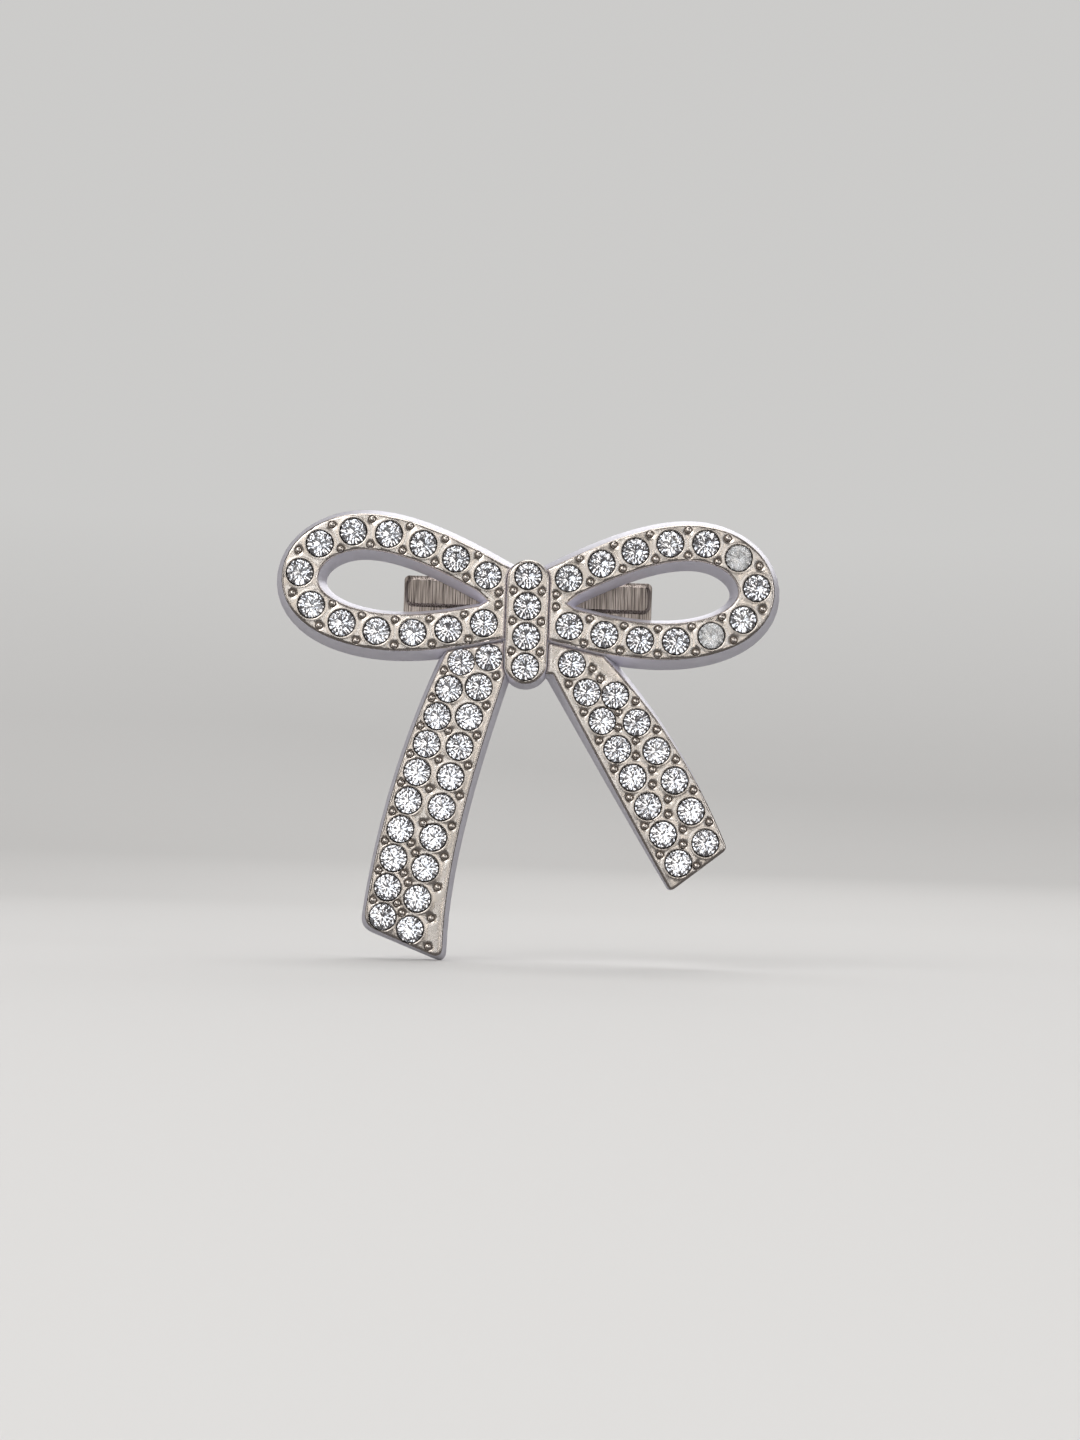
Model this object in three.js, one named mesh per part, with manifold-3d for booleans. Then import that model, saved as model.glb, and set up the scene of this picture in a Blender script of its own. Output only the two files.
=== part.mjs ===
// A rhinestone bow brooch: five plated castings soldered together at the knot, 64 foiled glass chatons
// cemented in their seats, and a bar pin with a hinged stem and a roll-over safety catch soldered behind.
// Millimetres. +Z is up as worn, -Y is the front, and the origin is the middle of the pin stem.
import * as THREE from 'three';
import { mergeVertices } from 'three/addons/utils/BufferGeometryUtils.js';
import Module from 'manifold-3d';

// ---------------------------------------------------------------- driving dimensions
const solderGap = 0.05; // film between soldered pieces

// Glass chatons, and the seats that hold them
const stoneDiameter = 2.6;
const stoneCrown = 0.5;
const stoneGirdle = 0.12;
const stonePavilion = 1.15;
const tableShare = 0.58; // table diameter over stone diameter, a property of the cut
const girdleDepth = 0.3; // bottom of the girdle below the metal's face
const seatClearance = 0.05;
const stoneSides = 12;
const cementDepth = 0.95; // below the face, where cement runs from one seat to its neighbour
const cementRadius = 0.2;

// Loops: the line that the stones follow, from the knot over the top and back underneath
const loopReach = 22.75; // from the brooch's middle to the far end of that line
const loopRise = 6.27;
const loopDrop = 3.75;
const loopEndHeight = 1.5; // height of the far end
const loopThickness = 3.4;
const loopStones = 13;
const outerBorder = 0.5; // metal from a stone's edge to the face's outer edge
const innerBorder = 0.55;
const loopFlare = 0.75; // how far the outer wall spreads towards the back
const holeFlare = 0.6;
const loopEndGap = 0.95; // from either end of that line to the nearest stone's edge
const rimHeight = 0.4; // straight edge at the back of every flared wall

// Knot: an upright strap that straddles the roots of the ribbons
const knotRise = 0.6; // how far its face stands above the loops' faces
const knotStones = 4;
const knotTopStone = 2.27; // height of its first stone
const knotStoneGap = 0.42;
const knotSideBorder = 0.75;
const knotEndBorder = 0.35;
const knotFlare = 0.3;
const knotLeg = 1.2; // length of the leg at each end, beyond the roots
const rootThickness = 1.7; // of the ribbons where they pass under the knot

// Tails: two columns of stones each. Headings are degrees from straight down, positive towards +X,
// and bend is how far the heading turns per millimetre.
const tailDrop = 0.6; // how far their faces lie below the loops' faces
const leftTail = {
  inner: { heading: -17, bend: 0.21, gap: 0.52, count: 10 },
  outer: { heading: -23.5, bend: 0.64, gap: 0.345, count: 10 },
  knotClearance: 0.3, // from the knot's edge to the first stone's edge
  loopClearance: 0.34, // from the loop's lower edge to the first stone's edge
  outerFrom: 0, // the inner stone that the outer column starts beside
  outerGap: 0.13,
  outerDrop: 0.56,
  outerStart: 1.35, // how far the outer edge runs up past its first stone
  outerBorder: 0.5, // metal from a stone's edge to the face's edge
  innerBorder: 0.8,
  endBorder: 2.45, // of the inner edge at the end
  outerEnd: 1.0, // how far the edges run past the last stones' centres
  innerEnd: 2.2,
  flare: 0.5,
  endFlare: 0.4,
  cornerRadius: 1.3,
};
const rightTail = {
  inner: { heading: 30, bend: 0, gap: 0.6, count: 8 },
  outer: { heading: 42, bend: -1.02, gap: 0.84, count: 6 },
  knotClearance: 1.28,
  loopClearance: 0.52,
  outerFrom: 1,
  outerGap: 0.21,
  outerDrop: 0.2,
  outerStart: 5.2,
  outerBorder: 0.5,
  innerBorder: 0.85,
  endBorder: 0.7,
  outerEnd: 1.35,
  innerEnd: 2.1,
  flare: 0.65,
  endFlare: 0.05,
  cornerRadius: 0.55,
};

// Bar pin
const barLength = 25;
const stemAboveLoops = 0.45; // the stem's height above the middle of the loops
const barHeight = 4;
const barThickness = 0.8;
const barCorner = 0.5;
const padRise = 0.35; // the raised panel that is soldered to the castings
const padEndInset = 0.1; // from the bar's edges to the panel's foot
const padTopInset = 0.15;
const padBottomInset = 0.85;
const stemHeight = 2.4; // from the bar's rear face to the middle of the stem
const stemRadius = 0.4;
const stemTipLength = 3;
const stemBeyondCatch = 0.5;
const hingeInset = 1.9; // from the bar's end to the rivet
const rivetRadius = 0.4;
const rivetHeadRadius = 0.75;
const rivetHeadHeight = 0.35;
const eyeRadius = 1;
const eyeThickness = 1.3;
const earThickness = 0.5;
const earRadius = 1.2;
const bracketFloor = 0.5;
const runningClearance = 0.06;
const sideClearance = 0.1;
const catchInset = 2.1; // from the bar's end to the middle of the catch
const housingLength = 1.1;
const housingWall = 0.45;
const rollerWall = 0.45;
const flangeOverlap = 0.35; // how far the roller's flanges stand out past the bore
const flangeThickness = 0.3;
const slotClearance = 0.1; // each side of the stem
const leverWidth = 0.9;
const leverClearance = 0.05; // between the lever and the bar, when it swings past
const leverAngle = -60; // degrees from straight back, towards up, when the catch is open

// ---------------------------------------------------------------- derived sizes
const stoneRadius = stoneDiameter / 2;
const loopOuter = stoneRadius + outerBorder;
const loopInner = stoneRadius + innerBorder;
const knotThickness = loopThickness + knotRise;
const tailThickness = loopThickness - tailDrop;
const knotPitch = stoneDiameter + knotStoneGap;
const knotHalfWidth = stoneRadius + knotSideBorder;
const knotTop = knotTopStone + stoneRadius + knotEndBorder;
const knotBottom = knotTopStone - (knotStones - 1) * knotPitch - stoneRadius - knotEndBorder;
const castingBack = -(stemHeight + barThickness + padRise + solderGap);
const hingeX = -barLength / 2 + hingeInset;
const catchX = barLength / 2 - catchInset;
const plateRear = -stemHeight;
const catchBore = stemRadius + slotClearance + rollerWall + runningClearance;

// ---------------------------------------------------------------- solids
const wasm = await Module();
wasm.setup();

// A closed geometry as a solid that can be joined and cut.
function solid(geometry) {
  const bare = geometry.clone();
  bare.deleteAttribute('normal');
  bare.deleteAttribute('uv');
  const merged = mergeVertices(bare, 1e-5);
  return new wasm.Manifold(
    new wasm.Mesh({
      numProp: 3,
      vertProperties: merged.attributes.position.array,
      triVerts: new Uint32Array(merged.index.array),
    }),
  );
}

function geometryOf(made) {
  const mesh = made.getMesh();
  return new THREE.BufferGeometry()
    .setAttribute('position', new THREE.BufferAttribute(mesh.vertProperties, 3))
    .setIndex(new THREE.BufferAttribute(mesh.triVerts, 1));
}

function box(width, depth, height, x, y, z) {
  return solid(new THREE.BoxGeometry(width, depth, height).translate(x, y, z));
}

// A round bar along X, Y or Z.
function rod(axis, radius, length, x, y, z, sides = 16) {
  const made = new THREE.CylinderGeometry(radius, radius, length, sides);
  if (axis === 'x') made.rotateZ(Math.PI / 2);
  if (axis === 'z') made.rotateX(Math.PI / 2);
  return solid(made.translate(x, y, z));
}

// A plate in the face frame (X right, Y up, Z to the front), from a face outline and a back outline that
// have the same number of points, with a straight rim at the back.
function taperedPlate(face, back, thickness) {
  const count = face.length;
  const rings = [
    back.map((point) => [point.x, point.y, 0]),
    back.map((point) => [point.x, point.y, rimHeight]),
    face.map((point) => [point.x, point.y, thickness]),
  ];
  const index = [];
  for (let ring = 0; ring < 2; ring++) {
    for (let i = 0; i < count; i++) {
      const a = ring * count + i;
      const b = ring * count + ((i + 1) % count);
      index.push(a, b, b + count, a, b + count, a + count);
    }
  }
  for (const [a, b, c] of THREE.ShapeUtils.triangulateShape(back, [])) index.push(a, c, b);
  for (const [a, b, c] of THREE.ShapeUtils.triangulateShape(face, [])) {
    index.push(a + 2 * count, b + 2 * count, c + 2 * count);
  }
  const plate = new THREE.BufferGeometry();
  plate.setAttribute('position', new THREE.Float32BufferAttribute(rings.flat(2), 3));
  plate.setIndex(index);
  return solid(plate);
}

function anticlockwise(outline) {
  return THREE.ShapeUtils.isClockWise(outline) ? outline.reverse() : outline;
}

// ---------------------------------------------------------------- chatons and seats
// A round chaton's profile, from the culet up, with the metal's face at height 0; grow makes the seat.
function chatonGeometry(grow) {
  const radius = stoneRadius + grow;
  const profile = [
    new THREE.Vector2(0, -girdleDepth - stonePavilion - grow),
    new THREE.Vector2(radius, -girdleDepth),
  ];
  if (grow > 0) {
    profile.push(new THREE.Vector2(radius, stoneCrown));
    profile.push(new THREE.Vector2(0, stoneCrown));
  } else {
    const tableHeight = stoneGirdle - girdleDepth + stoneCrown;
    profile.push(new THREE.Vector2(radius, stoneGirdle - girdleDepth));
    profile.push(new THREE.Vector2(radius * tableShare, tableHeight));
    profile.push(new THREE.Vector2(0, tableHeight));
  }
  return new THREE.LatheGeometry(profile, stoneSides).rotateX(Math.PI / 2);
}

function chaton(place) {
  return solid(chatonGeometry(0).translate(place.x, place.y, place.z));
}

function seat(place) {
  return solid(chatonGeometry(seatClearance).translate(place.x, place.y, place.z));
}

// The cement between two neighbouring stones, or with grow the gallery that it fills.
function cementRun(a, b, grow) {
  const run = new THREE.CylinderGeometry(cementRadius + grow, cementRadius + grow, a.distanceTo(b), 6);
  run.rotateZ(Math.atan2(b.y - a.y, b.x - a.x) - Math.PI / 2);
  const middle = a.clone().add(b).multiplyScalar(0.5);
  return solid(run.translate(middle.x, middle.y, middle.z - cementDepth));
}

function withSeats(body, places) {
  return places.reduce((made, place) => made.subtract(seat(place)), body);
}

// ---------------------------------------------------------------- knot
// A strap with round ends and a slot for the roots; grow makes the cutter that clears it.
function knotOutline(radius) {
  const reach = radius - stoneRadius - knotSideBorder;
  const upper = knotTop + reach - radius;
  const lower = knotBottom - reach + radius;
  return new THREE.Path()
    .absarc(0, upper, radius, 0, Math.PI)
    .absarc(0, lower, radius, Math.PI, 2 * Math.PI)
    .getPoints(10);
}

function knotBody(grow) {
  const radius = knotHalfWidth + grow;
  const strap = taperedPlate(knotOutline(radius), knotOutline(radius + knotFlare), knotThickness + grow);
  const slotHeight = 2 * (rootThickness + solderGap - grow);
  const slotLength = knotTop - knotBottom - 2 * (knotLeg + grow);
  return strap.subtract(box(40, slotLength, slotHeight, 0, (knotTop + knotBottom) / 2, 0));
}

function knotPlaces() {
  return Array.from(
    { length: knotStones },
    (_, i) => new THREE.Vector3(0, knotTopStone - i * knotPitch, knotThickness),
  );
}

// ---------------------------------------------------------------- loops
// The stones' line: four curves that are level at the top and underneath, and upright at the far end.
// Their handles are shares of the loop's reach, rise and drop.
function loopLine(side) {
  const at = (x, y) => new THREE.Vector3(side * x, y, 0);
  const up = (share, rise) => at(share * loopReach, rise * loopRise);
  const down = (share, drop) => at(share * loopReach, -drop * loopDrop);
  const end = at(loopReach, loopEndHeight);
  const line = new THREE.CurvePath();
  line.add(new THREE.CubicBezierCurve3(up(0.09, 0.19), up(0.285, 0.57), up(0.514, 1), up(0.716, 1)));
  line.add(new THREE.CubicBezierCurve3(up(0.716, 1), up(0.875, 1), up(1, 0.65), end));
  line.add(new THREE.CubicBezierCurve3(end, down(1, 0.5), down(0.8, 1), down(0.571, 1)));
  line.add(new THREE.CubicBezierCurve3(down(0.571, 1), down(0.396, 1), down(0.26, 0.76), down(0.09, 0.55)));
  return line;
}

// The line's points moved sideways: positive is outwards.
function loopEdge(line, offset, steps) {
  const edge = [];
  for (let i = 0; i <= steps; i++) {
    const point = line.getPointAt(i / steps);
    const tangent = line.getTangentAt(i / steps);
    const turn = Math.sign(line.getPointAt(0.5).x);
    edge.push(new THREE.Vector2(point.x - turn * offset * tangent.y, point.y + turn * offset * tangent.x));
  }
  return edge;
}

// The height of the loop's lower edge at a distance from the brooch's middle.
function loopUnderside(side, distance) {
  const edge = loopEdge(loopLine(side), loopOuter, 200);
  const lower = edge.slice(edge.length / 2);
  return lower.find((point) => Math.abs(point.x) < distance).y;
}

// The closed outline of the hole: the inner edge, from where its two arms cross.
function holeOutline(line, offset) {
  const steps = 80;
  const edge = loopEdge(line, -offset, steps);
  const upper = edge.slice(0, steps / 2);
  const lower = edge.slice(steps / 2).reverse();
  for (let i = 1; i < upper.length; i++) {
    for (let j = 1; j < lower.length; j++) {
      const tip = crossing(upper[i - 1], upper[i], lower[j - 1], lower[j]);
      if (tip) return [tip, ...upper.slice(i), ...lower.slice(j).reverse()];
    }
  }
  return edge;
}

// Where segment a-b crosses segment c-d, or null.
function crossing(a, b, c, d) {
  const ab = b.clone().sub(a);
  const cd = d.clone().sub(c);
  const ac = c.clone().sub(a);
  const turn = ab.cross(cd);
  const alongAb = ac.cross(cd) / turn;
  const alongCd = ac.cross(ab) / turn;
  const inside = alongAb >= 0 && alongAb <= 1 && alongCd >= 0 && alongCd <= 1;
  return inside ? a.clone().addScaledVector(ab, alongAb) : null;
}

// The loop with no hole or seats, grown by grow so that a neighbour can be cut clear of it.
function loopBlank(side, grow) {
  const middle = (side * solderGap) / 2;
  const outlineAt = (offset) => {
    const edge = loopEdge(loopLine(side), offset, 72);
    const root = [edge[edge.length - 1], edge[0]].map((point) => new THREE.Vector2(middle, point.y));
    return anticlockwise([...edge, ...root]);
  };
  const face = outlineAt(loopOuter + grow);
  const back = outlineAt(loopOuter + loopFlare + grow);
  return taperedPlate(face, back, loopThickness + grow);
}

// The cutter for the hole: narrowest at the back, and as wide as the face allows at the front.
function loopHole(side) {
  const outline = new THREE.Shape(holeOutline(loopLine(side), loopInner + holeFlare));
  const flared = { depth: 1, bevelThickness: loopThickness, bevelSize: holeFlare, bevelSegments: 1 };
  const straight = { depth: 2 * rimHeight, bevelEnabled: false };
  return solid(new THREE.ExtrudeGeometry(outline, flared).translate(0, 0, loopThickness)).add(
    solid(new THREE.ExtrudeGeometry(outline, straight).translate(0, 0, -rimHeight)),
  );
}

// Stones at equal steps along the line.
function loopPlaces(side) {
  const line = loopLine(side);
  const endShare = (stoneRadius + loopEndGap) / line.getLength();
  return Array.from({ length: loopStones }, (_, i) => {
    const share = endShare + (i / (loopStones - 1)) * (1 - 2 * endShare);
    return line.getPointAt(share).setZ(loopThickness);
  });
}

function loopCasting(side) {
  const otherSide = box(40, 60, 20, -side * (20 - solderGap / 2), 0, 0);
  const blank = loopBlank(side, 0).subtract(otherSide).subtract(knotBody(solderGap));
  return withSeats(blank.subtract(loopHole(side)), loopPlaces(side));
}

// ---------------------------------------------------------------- tails
// A point s along a column that starts at start, moved sideways by offset towards +X.
function alongColumn(column, s, offset = 0) {
  const heading = THREE.MathUtils.degToRad(column.heading);
  const half = (THREE.MathUtils.degToRad(column.bend) * s) / 2;
  const chord = half ? (s * Math.sin(half)) / half : s;
  return new THREE.Vector2(
    column.start.x + chord * Math.sin(heading + half) + offset * Math.cos(heading + 2 * half),
    column.start.y - chord * Math.cos(heading + half) + offset * Math.sin(heading + 2 * half),
  );
}

// The inner and outer columns of a tail with their starts, pitches and lengths.
function tailColumns(tail, side) {
  const inner = { ...tail.inner, pitch: stoneDiameter + tail.inner.gap };
  const outer = { ...tail.outer, pitch: stoneDiameter + tail.outer.gap };
  const firstStoneX = knotHalfWidth + tail.knotClearance + stoneRadius;
  const firstStoneTop = loopUnderside(side, firstStoneX) - tail.loopClearance;
  inner.start = new THREE.Vector2(side * firstStoneX, firstStoneTop - stoneRadius);
  const beside = alongColumn(inner, tail.outerFrom * inner.pitch);
  outer.start = beside.add(new THREE.Vector2(side * (stoneDiameter + tail.outerGap), -tail.outerDrop));
  for (const column of [inner, outer]) column.length = (column.count - 1) * column.pitch;
  return { inner, outer };
}

function columnPlaces(column) {
  return Array.from({ length: column.count }, (_, i) => {
    const at = alongColumn(column, i * column.pitch);
    return new THREE.Vector3(at.x, at.y, tailThickness);
  });
}

// The tail's stones from the top, each inner one with its neighbour in the outer column, where it has one.
function tailRows(tail, side) {
  const { inner, outer } = tailColumns(tail, side);
  const outerPlaces = columnPlaces(outer);
  return columnPlaces(inner).map((place, i) => [place, outerPlaces[i - tail.outerFrom]].filter(Boolean));
}

// The corner between from-corner and corner-to, as an arc of a few points.
function roundedCorner(from, corner, to, radius) {
  const before = corner.clone().add(from.clone().sub(corner).setLength(radius));
  const after = corner.clone().add(to.clone().sub(corner).setLength(radius));
  return new THREE.QuadraticBezierCurve(before, corner, after).getPoints(6);
}

// The tail's outline at its face, or with spread 1 at its back.
function tailOutline(tail, side, spread) {
  const { inner, outer } = tailColumns(tail, side);
  const below = spread * tail.endFlare;
  const outerEdge = [];
  const innerEdge = [];
  const steps = 20;
  for (let i = 0; i <= steps; i++) {
    const share = i / steps;
    const flare = spread * THREE.MathUtils.lerp(tail.flare, tail.endFlare, share);
    const border = THREE.MathUtils.lerp(tail.innerBorder, tail.endBorder, share ** 4);
    const outerOffset = side * (stoneRadius + tail.outerBorder + flare);
    const innerOffset = side * (stoneRadius + border + flare);
    const outerTravel = share * (outer.length + tail.outerEnd + below + tail.outerStart) - tail.outerStart;
    outerEdge.push(alongColumn(outer, outerTravel, outerOffset));
    innerEdge.push(alongColumn(inner, share * (inner.length + tail.innerEnd + below), -innerOffset));
  }
  const outerCorner = outerEdge.pop();
  const innerCorner = innerEdge.pop();
  // Up beside the knot's lower leg, across under the knot, and up behind the loop.
  const middle = (side * solderGap) / 2;
  const rootBottom = knotBottom + knotLeg + solderGap;
  const rootTop = inner.start.y + stoneRadius + tail.innerBorder;
  return anticlockwise([
    ...outerEdge,
    ...roundedCorner(outerEdge[steps - 1], outerCorner, innerCorner, tail.cornerRadius),
    ...roundedCorner(outerCorner, innerCorner, innerEdge[steps - 1], tail.cornerRadius),
    ...innerEdge.reverse(),
    new THREE.Vector2(middle, rootBottom),
    new THREE.Vector2(middle, rootTop),
  ]);
}

function tailCasting(tail, side) {
  const rows = tailRows(tail, side);
  const otherSide = box(40, 100, 20, -side * (20 - solderGap / 2), 0, 0);
  let body = taperedPlate(tailOutline(tail, side, 0), tailOutline(tail, side, 1), tailThickness)
    .subtract(otherSide)
    .subtract(knotBody(solderGap))
    .subtract(loopBlank(side, solderGap));
  body = withSeats(body, rows.flat());
  for (const [a, b] of rows) if (b) body = body.subtract(cementRun(a, b, seatClearance));
  return body;
}

// ---------------------------------------------------------------- bar pin
// Its pieces are built in the brooch's own frame, with the stem on the X axis.
function roundedBar(length, height, radius) {
  const x = length / 2 - radius;
  const y = height / 2 - radius;
  return new THREE.Shape()
    .absarc(x, y, radius, 0, Math.PI / 2)
    .absarc(-x, y, radius, Math.PI / 2, Math.PI)
    .absarc(-x, -y, radius, Math.PI, 1.5 * Math.PI)
    .absarc(x, -y, radius, 1.5 * Math.PI, 2 * Math.PI);
}

function barPlate() {
  const plate = new THREE.ExtrudeGeometry(roundedBar(barLength, barHeight, barCorner), {
    depth: barThickness,
    bevelEnabled: false,
    curveSegments: 3,
  });
  const padLength = barLength - 2 * (padEndInset + padRise);
  const padHeight = barHeight - padTopInset - padBottomInset - 2 * padRise;
  const pad = new THREE.ExtrudeGeometry(roundedBar(padLength, padHeight, barCorner), {
    depth: barThickness / 2,
    bevelThickness: padRise,
    bevelSize: padRise,
    bevelSegments: 1,
    curveSegments: 3,
  });
  const turned = (geometry) => geometry.rotateX(Math.PI / 2).translate(0, plateRear, 0);
  return solid(turned(plate))
    .add(solid(turned(pad.translate(0, (padBottomInset - padTopInset) / 2, barThickness / 2))));
}

// A folded bracket: a floor with two ears, soldered to the bar, that carries the rivet.
function hingeBracket() {
  const earGap = eyeThickness + 2 * sideClearance;
  const width = earGap + 2 * earThickness;
  const floorY = plateRear + solderGap;
  const ears = rod('z', earRadius, width, hingeX, 0, 0, 20).add(
    box(2 * earRadius, -floorY, width, hingeX, floorY / 2, 0),
  );
  const eyeRoom = stemHeight + eyeRadius + 1;
  const gapBottom = floorY + bracketFloor;
  return ears
    .subtract(box(4 * earRadius, eyeRoom, earGap, hingeX, gapBottom + eyeRoom / 2, 0))
    .subtract(rod('z', rivetRadius + solderGap, 2 * width, hingeX, 0, 0));
}

function hingeRivet() {
  const earSpan = eyeThickness + 2 * sideClearance + 2 * earThickness + 2 * solderGap;
  const headAt = (earSpan + rivetHeadHeight) / 2;
  return rod('z', rivetRadius, earSpan + rivetHeadHeight, hingeX, 0, 0)
    .add(rod('z', rivetHeadRadius, rivetHeadHeight, hingeX, 0, headAt))
    .add(rod('z', rivetHeadRadius, rivetHeadHeight, hingeX, 0, -headAt));
}

// A sharpened wire with a pierced eye at the hinge.
function pinStem() {
  const tipX = catchX + rollerLength() / 2 + stemBeyondCatch;
  const startX = hingeX + eyeRadius / 2 + rivetRadius;
  const profile = [
    new THREE.Vector2(0, startX),
    new THREE.Vector2(stemRadius, startX),
    new THREE.Vector2(stemRadius, tipX - stemTipLength),
    new THREE.Vector2(0.75 * stemRadius, tipX - stemTipLength / 2),
    new THREE.Vector2(0, tipX),
  ];
  const wire = new THREE.LatheGeometry(profile, 12).rotateZ(-Math.PI / 2);
  return rod('z', eyeRadius, eyeThickness, hingeX, 0, 0, 24)
    .subtract(rod('z', rivetRadius + runningClearance, 2 * eyeThickness, hingeX, 0, 0, 24))
    .add(solid(wire));
}

function rollerLength() {
  return housingLength + 2 * (flangeThickness + sideClearance);
}

// A ring on a foot, open towards the back, that the roller turns in.
function catchHousing() {
  const outer = catchBore + housingWall;
  const mouth = 2 * (stemRadius + slotClearance) + 2 * slotClearance;
  const floorY = plateRear + solderGap;
  const foot = 1.6 * catchBore;
  return rod('x', outer, housingLength, catchX, 0, 0, 24)
    .add(box(housingLength, -floorY, foot, catchX, floorY / 2, 0))
    .subtract(rod('x', catchBore, 2 * housingLength, catchX, 0, 0, 24))
    .subtract(box(2 * housingLength, 2 * outer, mouth, catchX, outer, 0));
}

// A slotted spool with a thumb lever. Rolled over, its wall shuts the housing's mouth behind the stem.
function catchRoller() {
  const core = catchBore - runningClearance;
  const flange = catchBore + flangeOverlap;
  const length = rollerLength();
  const flangeAt = (length - flangeThickness) / 2;
  const leverReach = Math.sqrt((stemHeight - leverClearance) ** 2 - (leverWidth / 2) ** 2);
  const lever = new THREE.BoxGeometry(flangeThickness, leverReach - catchBore, leverWidth);
  lever.translate(catchX + flangeAt, (catchBore + leverReach) / 2, 0);
  lever.rotateX(THREE.MathUtils.degToRad(leverAngle));
  const bore = core - rollerWall;
  return rod('x', core, length, catchX, 0, 0, 24)
    .add(rod('x', flange, flangeThickness, catchX - flangeAt, 0, 0, 24))
    .add(rod('x', flange, flangeThickness, catchX + flangeAt, 0, 0, 24))
    .add(solid(lever))
    .subtract(rod('x', bore, 2 * length, catchX, 0, 0, 24))
    .subtract(box(2 * length, 2 * flange, 2 * (stemRadius + slotClearance), catchX, flange, 0));
}

// ---------------------------------------------------------------- materials
const plating = { color: 0xc9bfb3, roughness: 0.28, metalness: 1 };
const glass = { color: 0xf2f4f8, roughness: 0.03, metalness: 0, transparent: true, opacity: 0.6 };
const barSteel = { color: 0xb3aaa2, roughness: 0.42, metalness: 1 };
const stemSteel = { color: 0xc2c1bf, roughness: 0.2, metalness: 1 };

function named(name, made, material) {
  const mesh = new THREE.Mesh(geometryOf(made), new THREE.MeshStandardMaterial(material));
  mesh.name = name;
  return mesh;
}

// ---------------------------------------------------------------- assembly
const number = (i) => String(i + 1).padStart(2, '0');
const face = new THREE.Group(); // the castings' frame: Z to the front, from their back plane
face.rotation.x = Math.PI / 2;
face.position.y = castingBack;
face.position.z = -stemAboveLoops;

face.add(named('knot', withSeats(knotBody(0), knotPlaces()), plating));
knotPlaces().forEach((place, i) => face.add(named(`knot_stone_${number(i)}`, chaton(place), glass)));

const sides = [
  { name: 'left', side: -1, tail: leftTail },
  { name: 'right', side: 1, tail: rightTail },
];
for (const { name, side, tail } of sides) {
  face.add(named(`${name}_loop`, loopCasting(side), plating));
  loopPlaces(side).forEach((place, i) => {
    face.add(named(`${name}_loop_stone_${number(i)}`, chaton(place), glass));
  });
  face.add(named(`${name}_tail`, tailCasting(tail, side), plating));
  tailRows(tail, side).forEach(([a, b], i) => {
    const stones = b ? chaton(a).add(chaton(b)).add(cementRun(a, b, 0)) : chaton(a);
    face.add(named(`${name}_tail_stones_${number(i)}`, stones, glass));
  });
}

const brooch = new THREE.Group();
brooch.add(face);
brooch.add(named('bar_plate', barPlate(), barSteel));
brooch.add(named('hinge_bracket', hingeBracket(), barSteel));
brooch.add(named('hinge_rivet', hingeRivet(), stemSteel));
brooch.add(named('pin_stem', pinStem(), stemSteel));
brooch.add(named('catch_housing', catchHousing(), barSteel));
brooch.add(named('catch_roller', catchRoller(), stemSteel));

export default brooch;
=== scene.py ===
"""Looks for the rhinestone bow brooch: detailed castings, cut chatons, a bar pin and a small studio."""

import math
import random

import bmesh
import bpy
import numpy as np
from mathutils import Matrix, Vector, noise
from mathutils.geometry import delaunay_2d_cdt


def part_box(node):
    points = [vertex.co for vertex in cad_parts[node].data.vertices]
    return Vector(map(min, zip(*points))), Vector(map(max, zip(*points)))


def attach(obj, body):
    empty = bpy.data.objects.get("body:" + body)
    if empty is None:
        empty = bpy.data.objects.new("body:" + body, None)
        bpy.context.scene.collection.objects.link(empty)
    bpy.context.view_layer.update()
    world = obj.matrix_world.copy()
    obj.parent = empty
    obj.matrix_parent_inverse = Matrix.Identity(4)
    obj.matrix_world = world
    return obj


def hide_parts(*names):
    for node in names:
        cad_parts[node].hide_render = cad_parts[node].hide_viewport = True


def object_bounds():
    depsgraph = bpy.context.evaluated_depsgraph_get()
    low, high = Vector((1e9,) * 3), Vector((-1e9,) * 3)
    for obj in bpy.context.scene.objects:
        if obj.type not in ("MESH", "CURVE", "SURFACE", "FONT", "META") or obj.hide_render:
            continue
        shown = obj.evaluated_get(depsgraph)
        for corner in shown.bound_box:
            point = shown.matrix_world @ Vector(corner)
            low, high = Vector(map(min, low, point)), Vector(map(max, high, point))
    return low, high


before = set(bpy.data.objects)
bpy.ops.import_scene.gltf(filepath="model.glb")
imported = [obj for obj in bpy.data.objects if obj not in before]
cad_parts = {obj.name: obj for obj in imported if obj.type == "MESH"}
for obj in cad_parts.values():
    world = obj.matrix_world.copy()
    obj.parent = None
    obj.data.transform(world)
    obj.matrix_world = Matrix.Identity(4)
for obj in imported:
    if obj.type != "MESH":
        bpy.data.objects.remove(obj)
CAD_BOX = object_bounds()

MM = 0.001  # Blender works in metres, and the sizes below are millimetres
TINY = 1e-12  # keeps a division off zero

SIDES = {"left": -1, "right": 1}
MILKY = ("right_loop_stone_06", "right_loop_stone_09")  # the two cloudy stones

# ---------------------------------------------------------------- sizes of the castings' details
EDGE_ROUND = 0.26  # radius of the faces' outer edges
EDGE_RINGS = (0.01, 0.04, 0.09, 0.16, 0.26)  # rows of vertices across that rounding
EDGE_SHARE = 0.93  # a row's points stay this share of its distance from the outline
RIM_STEP = 0.3  # longest edge along a face's outline

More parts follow.
